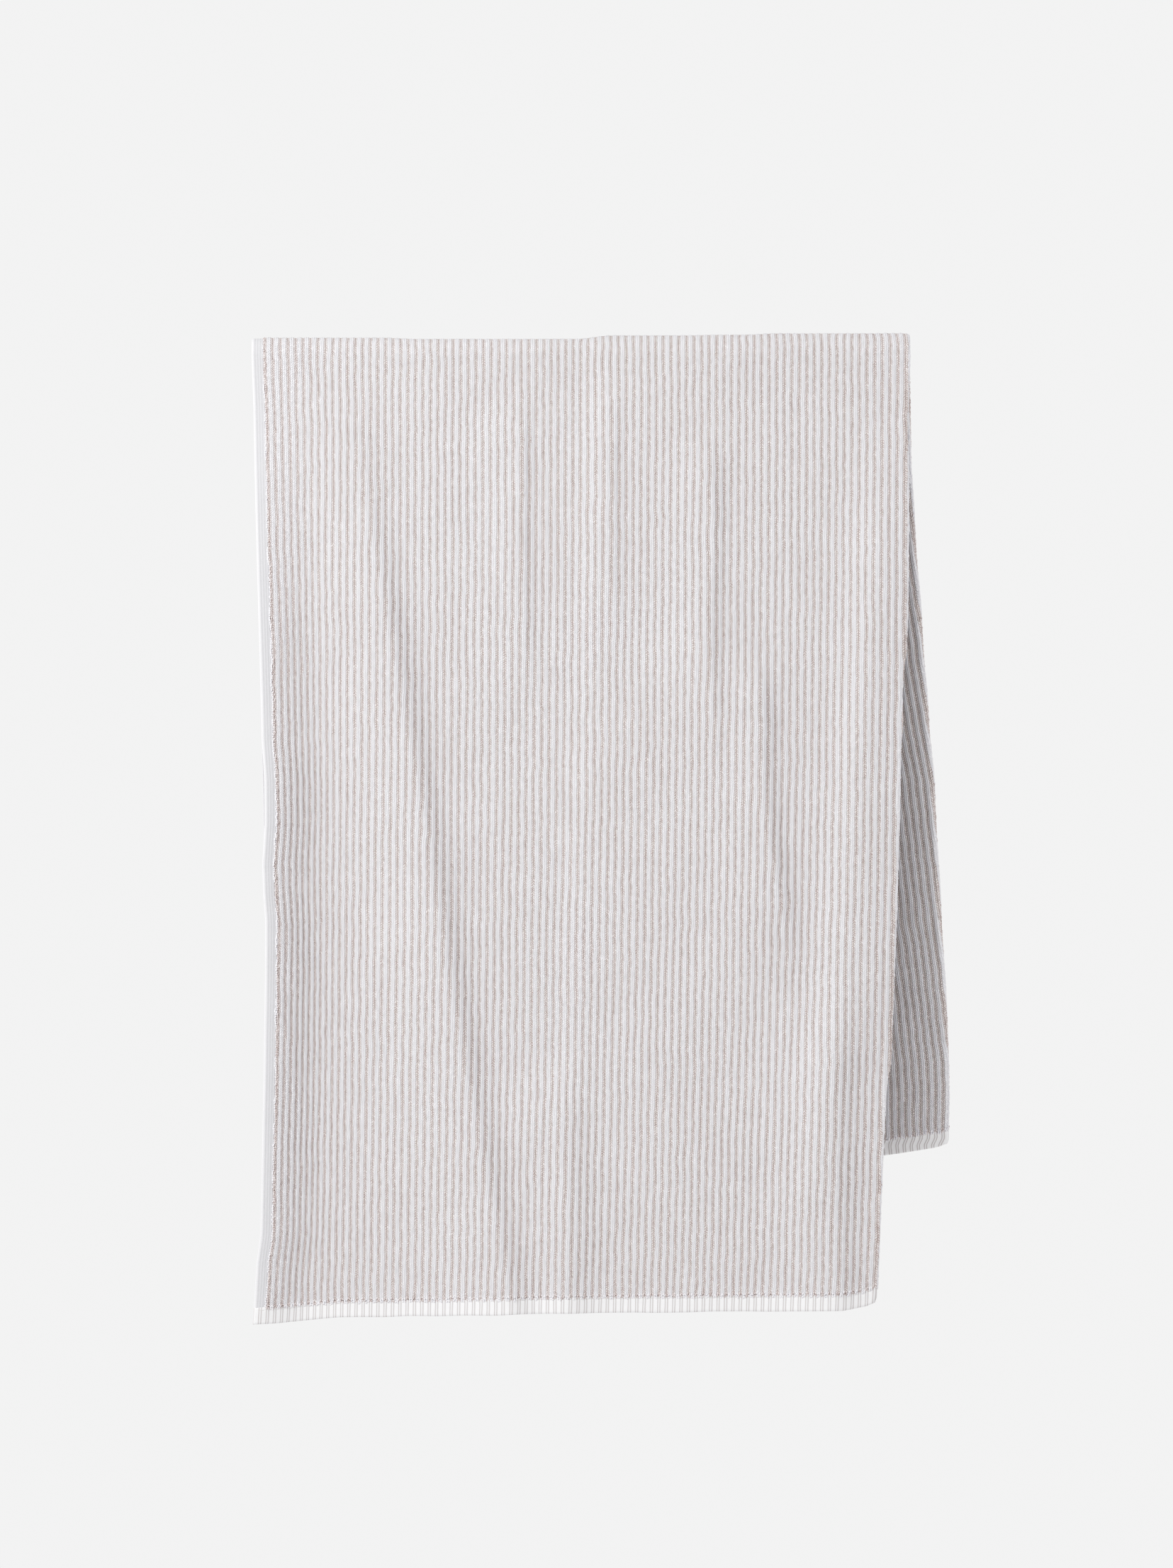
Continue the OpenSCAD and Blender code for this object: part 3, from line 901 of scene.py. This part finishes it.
def selvedge_material():
    """Ribbed flat weave, brightest at its edge."""
    s = Shader("selvedge_weave", sheen=0.15)
    rib = (s.u * (TURN / SELVEDGE_RIB)).wave()
    pick = (s.v * (TURN / SELVEDGE_PICK) + s.noise(2, 3) * 4.0).wave()
    weave = s.colour(SELVEDGE_LOW, SELVEDGE_HIGH, rib * 0.35 + pick * 0.2 + s.noise(1, 2) * 0.6)
    to_edge = ((s.u - CLOTH_W / 2).abs() - CLOTH_W / 2).abs()
    colour = s.colour(weave, SELVEDGE_RIM, (to_edge * -1.0).ramp(-1.9, -1.0))
    height = rib * 0.3 + pick * 0.3 + s.noise(0.7, 0.7) * 0.4
    return s.finish(colour, height, 0.16, rib * -0.05 + 0.9)


def thread_material():
    """White sewing thread with a visible twist."""
    s = Shader("thread", sheen=0.1)
    twist = (s.u * (TURN / THREAD_TWIST) + s.v * 9.0).wave()
    return s.finish(s.colour(THREAD_LOW, THREAD_HIGH, twist), twist, 0.08, twist * -0.1 + 0.65)


def floor_material():
    material = bpy.data.materials.new("floor")
    material.use_nodes = True
    nodes, links = material.node_tree.nodes, material.node_tree.links
    noise = nodes.new("ShaderNodeTexNoise")
    noise.inputs["Scale"].default_value = 3.0
    mix = nodes.new("ShaderNodeMix")
    mix.data_type = "RGBA"
    links.new(noise.outputs["Fac"], mix.inputs["Factor"])
    mix.inputs[6].default_value = FLOOR_LOW
    mix.inputs[7].default_value = FLOOR_HIGH
    links.new(mix.outputs[2], nodes["Principled BSDF"].inputs["Base Color"])
    nodes["Principled BSDF"].inputs["Roughness"].default_value = 0.9
    return material


# ---- The towel -----------------------------------------------------------------------------------------

TERRY = terry_material("striped_terry", depth=0.70, crowns=1.0)
# The edge loops are real shapes, so their material paints less of the shade between loops.
LOOPS = terry_material("striped_loops", depth=0.20, crowns=0.45)
HEM = hem_material()
SELVEDGE = selvedge_material()
THREAD = thread_material()

for hang in (FRONT, BACK):
    body = hang.name
    terry = make_terry(hang, TERRY)
    edge = make_selvedge(hang, f"{body}_selvedge", 0.0, 0.0, SELVEDGE)
    flap_edge = make_selvedge(hang, f"{body}_flap_selvedge", CLOTH_W - SELVEDGE_W, CLOTH_W, SELVEDGE)
    hem = make_hem(hang, HEM)
    loops = make_edge_loops(hang, LOOPS)
    stitching = make_stitching(hang, THREAD)
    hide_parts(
        f"{body}_outer_terry", f"{body}_fold", f"{body}_under_terry",
        "saddle_outer_terry", "saddle_fold", "saddle_under_terry",
    )
    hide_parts(f"{body}_outer_selvedge", "saddle_outer_selvedge")
    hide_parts(f"{body}_under_selvedge", "saddle_under_selvedge")
    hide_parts(f"{body}_outer_hem", f"{body}_hem_fold", f"{body}_under_hem")
    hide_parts(f"{body}_outer_stitching", f"{body}_under_stitching")
    for piece in (terry, edge, flap_edge, loops):
        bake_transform(piece)
    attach(hem, body)
    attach(stitching, body)
    length = float(np.mean(crest_length(hang, np.linspace(0, CLOTH_W, 31)))) - HEM_H

# ---- Floor, light and camera, in metres ----------------------------------------------------------------

FLOOR_Z = -1.5
FLOOR_HALF = 8.0
FLOOR_CORNERS = ((-1, -1), (1, -1), (1, 1), (-1, 1))
SKY_LEVEL = 0.885
LIGHT_TARGET = (0, 0, -0.35)
# FRAME_HEIGHT is the height of the picture where y is FOCUS_Y
FRAME_HEIGHT = 1.2197
LENS = 300.0
SENSOR = 36.0
CAMERA_X = 0.00606
CAMERA_Z = -0.3344
FOCUS_Y = -0.016
TONE_POINTS = ((0.2, 0.130), (0.42, 0.364), (0.6, 0.6))

mesh = bpy.data.meshes.new("floor")
mesh.from_pydata([(x * FLOOR_HALF, y * FLOOR_HALF, FLOOR_Z) for x, y in FLOOR_CORNERS], [], [(0, 1, 2, 3)])
mesh.materials.append(floor_material())
floor = bpy.data.objects.new("floor", mesh)
bpy.context.scene.collection.objects.link(floor)

world = bpy.data.worlds.new("studio")
bpy.context.scene.world = world
world.use_nodes = True
sky = world.node_tree.nodes["Background"]
sky.inputs["Color"].default_value = (1, 1, 1, 1)
sky.inputs["Strength"].default_value = SKY_LEVEL


def area_light(name, azimuth, elevation, distance, size, energy):
    """A soft box that faces the towel. Azimuth is measured from straight in front, towards the left."""
    a, e = math.radians(azimuth), math.radians(elevation)
    outward = Vector((-math.sin(a) * math.cos(e), -math.cos(a) * math.cos(e), math.sin(e)))
    data = bpy.data.lights.new(name, "AREA")
    data.shape = "RECTANGLE"
    data.size, data.size_y = size
    data.energy = energy
    light = bpy.data.objects.new(name, data)
    light.location = Vector(LIGHT_TARGET) + outward * distance
    light.rotation_euler = outward.to_track_quat("Z", "Y").to_euler()
    bpy.context.scene.collection.objects.link(light)


area_light("key", azimuth=50, elevation=22, distance=2.4, size=(0.6, 1.0), energy=23.5)
area_light("fill", azimuth=-62, elevation=30, distance=2.4, size=(1.2, 1.2), energy=3)

# The camera looks straight along +Y, level with the middle of the picture
cam = bpy.data.cameras.new("camera")
cam.lens = LENS
cam.sensor_width = SENSOR
camera = bpy.data.objects.new("camera", cam)
camera.location = (CAMERA_X, FOCUS_Y - FRAME_HEIGHT * LENS / SENSOR, CAMERA_Z)
camera.rotation_euler = (math.pi / 2, 0, 0)
bpy.context.scene.collection.objects.link(camera)
bpy.context.scene.camera = camera

# A tone curve that deepens the shadows, as the photograph's does
view = bpy.context.scene.view_settings
view.view_transform = "Standard"
view.use_curve_mapping = True
for place in TONE_POINTS:
    view.curve_mapping.curves[3].points.new(*place)
view.curve_mapping.update()
